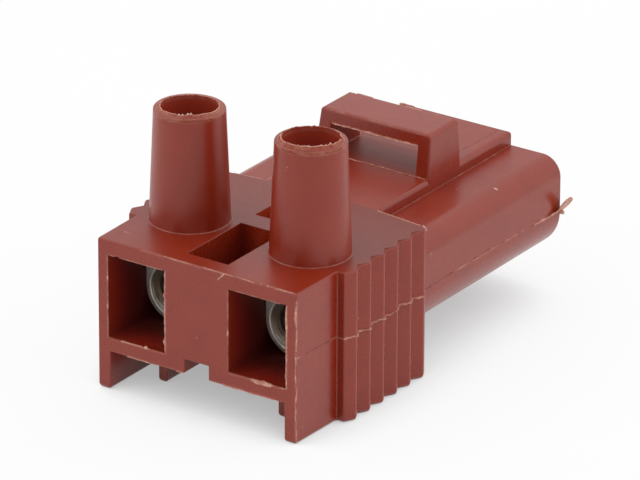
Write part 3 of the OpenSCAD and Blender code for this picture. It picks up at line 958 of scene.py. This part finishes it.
SPECKS = [
    (at(5.99, 22.93, SHOULDER_Z), (0, 0, 1), (1, 0, 0), (0.14, 0.10), 0.03),
    (at(NOSE_HALF, 21.75, 5.87), (1, 0, 0), (0, 1, 0), (0.12, 0.09), 0.03),
    (at(NOSE_HALF, 15.1, 8.8), (1, 0, 0), (0, 1, 0.4), (0.30, 0.08), 0.02),
    (at(8.24, 0.7, 1.12), (1, 0, 0), (0, 1, 0.6), (0.14, 0.10), 0.04),
    (at(3.69, 28.75, BLOCK_TOP), (0, 0, 1), (0.5, 0.5, 0), (0.16, 0.11), 0.04),
    (at(RIDGE_X - 0.01, 5.6, 7.61), (1, -0.4, 0), (0, 0, 1), (0.18, 0.09), 0.04),
    (at(4.80, 3.80, 18.2), (0, -1, 0.04), (1, 0, 0), (0.08, 0.08), 0.03),
    (at(4.66, 3.81, 17.95), (0, -1, 0.04), (1, 0, 0), (0.07, 0.07), 0.03),
]


def marks(name, material, table):
    """One piece with all the marks of a table."""
    flash = Flash(name, material)
    for mark in table:
        flash.speck(*mark)
    flash.done()


for side, sign in (("left", -1), ("right", 1)):
    side_flash(side, sign)
    entry_flash(side, sign)
    tower_foot(side, sign)
tower_burr("left", -1, (0.26, 0.13, 0.06), (284, 292, 302, 308), CHIP)
tower_burr("right", 1, (0.38, 0.22, 0.17), (300, 312, 324, 334, 344), FLASH, notch=30)
hairlines()
front_flash()
rail_flash()
tail_flash()
marks("chips", CHIP, CHIPS)
marks("smear_top", SMEAR, SMEARS)
marks("specks", FLASH, SPECKS)


# Soft panels of the white surround: direction, half angles in degrees of full effect and of none, and
# change of level
PANELS = [
    ((0.0, 0.0, 1.0), 20, 75, 0.30),
    ((0.90, 0.40, 0.20), 20, 70, 0.25),
    ((-0.70, -0.60, 0.40), 15, 60, 0.20),
    ((0.52, -0.80, 0.22), 22, 58, -0.60),
]
SURROUND_LEVEL = 0.86
# Half the floor's side in metres, the glow's share of what the camera sees of it, and how far the
# painted shadow in its glow reaches from the object
FLOOR_HALF = 0.9
FLOOR_GLOW = 0.85
FLOOR_PAINTED_SHADOW_REACH = 9


def surround():
    """White studio surround, darker where the room opens in front."""
    world = bpy.data.worlds.new("surround")
    world.use_nodes = True
    bpy.context.scene.world = world
    g = Graph(world.node_tree)
    direction = g.add("ShaderNodeTexCoord").outputs["Generated"]
    level = SURROUND_LEVEL
    for toward, full, none, change in PANELS:
        sockets = {0: direction, 1: Vector(toward).normalized()}
        dot = g.add("ShaderNodeVectorMath", sockets, operation="DOT_PRODUCT").outputs["Value"]
        sockets = {"Value": dot, "From Min": math.cos(math.radians(none)),
                   "From Max": math.cos(math.radians(full)), "To Max": change}
        fade = g.add("ShaderNodeMapRange", sockets, interpolation_type="SMOOTHSTEP").outputs["Result"]
        level = g.plus(fade, level)
    background = g.tree.nodes["Background"].inputs
    g.put(background["Strength"], level)
    g.put(background["Color"], rgb(1.0, 1.0, 1.0))


def floor_paper():
    """White paper that keeps a light shadow, partly real and partly painted into its glow. The camera,
    mirrors and glass see most of it as a glow.
    """
    t = Shader("floor_paper")
    colour = t.mottle(t.coords(), 0.06, rgb(0.90, 0.90, 0.90), rgb(0.93, 0.93, 0.93), detail=2, rough=0.5,
                      soft=0.2)
    paper = t.add("ShaderNodeBsdfDiffuse", {"Color": colour})
    # Painted shadow: the glow dims where the object closes in over the floor
    level = t.remap(t.openness(FLOOR_PAINTED_SHADOW_REACH, samples=16), 0.05, 0.7, 0.45, 1.0)
    glow = t.add("ShaderNodeEmission", {"Color": rgb(1, 1, 1), "Strength": level})
    path = t.add("ShaderNodeLightPath").outputs
    seen = path["Is Camera Ray"]
    for name in ("Is Glossy Ray", "Is Transmission Ray"):
        seen = t.math("MAXIMUM", seen, path[name])
    sockets = {0: t.times(seen, FLOOR_GLOW), 1: paper.outputs[0], 2: glow.outputs[0]}
    t.put(t.out.inputs["Surface"], t.add("ShaderNodeMixShader", sockets).outputs[0])
    return t.material


def studio():
    """A pale floor under the white surround."""
    scene = bpy.context.scene
    scene.view_settings.view_transform = "Standard"
    surround()
    mesh = bpy.data.meshes.new("floor")
    shape = bmesh.new()
    bmesh.ops.create_grid(shape, x_segments=8, y_segments=8, size=FLOOR_HALF)
    shape.to_mesh(mesh)
    shape.free()
    mesh.materials.append(floor_paper())
    floor = bpy.data.objects.new("floor", mesh)
    scene.collection.objects.link(floor)


# The photo's view, solved from the part's own edges: angles in degrees, distance and target in the
# part's own frame, and focal length in pixels of the picture's width
CAMERA_AZIMUTH = 34.22
CAMERA_ELEVATION = 23.66
CAMERA_ROLL = 0.29
CAMERA_DISTANCE = 430.9
CAMERA_TARGET = (0.061, -1.171, 7.750)
FOCAL_PIXELS = 6218
PICTURE_WIDTH = 640
SENSOR_WIDTH = 36.0
# Nearest and farthest that the camera sees, in metres
CAMERA_CLIP = (0.01, 10.0)


def camera():
    """A long lens from the front right, a little above."""
    azimuth = math.radians(CAMERA_AZIMUTH)
    elevation = math.radians(CAMERA_ELEVATION)
    roll = math.radians(CAMERA_ROLL)
    back = Vector((math.sin(azimuth) * math.cos(elevation), -math.cos(azimuth) * math.cos(elevation),
                   math.sin(elevation)))
    right = Vector((math.cos(azimuth), math.sin(azimuth), 0))
    up = back.cross(right)
    across = math.cos(roll) * right + math.sin(roll) * up
    upright = math.cos(roll) * up - math.sin(roll) * right
    data = bpy.data.cameras.new("camera")
    data.sensor_fit = "HORIZONTAL"
    data.sensor_width = SENSOR_WIDTH
    data.lens = SENSOR_WIDTH * FOCAL_PIXELS / PICTURE_WIDTH
    data.clip_start, data.clip_end = CAMERA_CLIP
    obj = bpy.data.objects.new("camera", data)
    bpy.context.scene.collection.objects.link(obj)
    eye = Vector(CAMERA_TARGET) * MM + back * CAMERA_DISTANCE * MM
    turn = Matrix((across, upright, back)).transposed().to_4x4()
    obj.matrix_world = Matrix.Translation(eye) @ turn
    bpy.context.scene.camera = obj


studio()
camera()
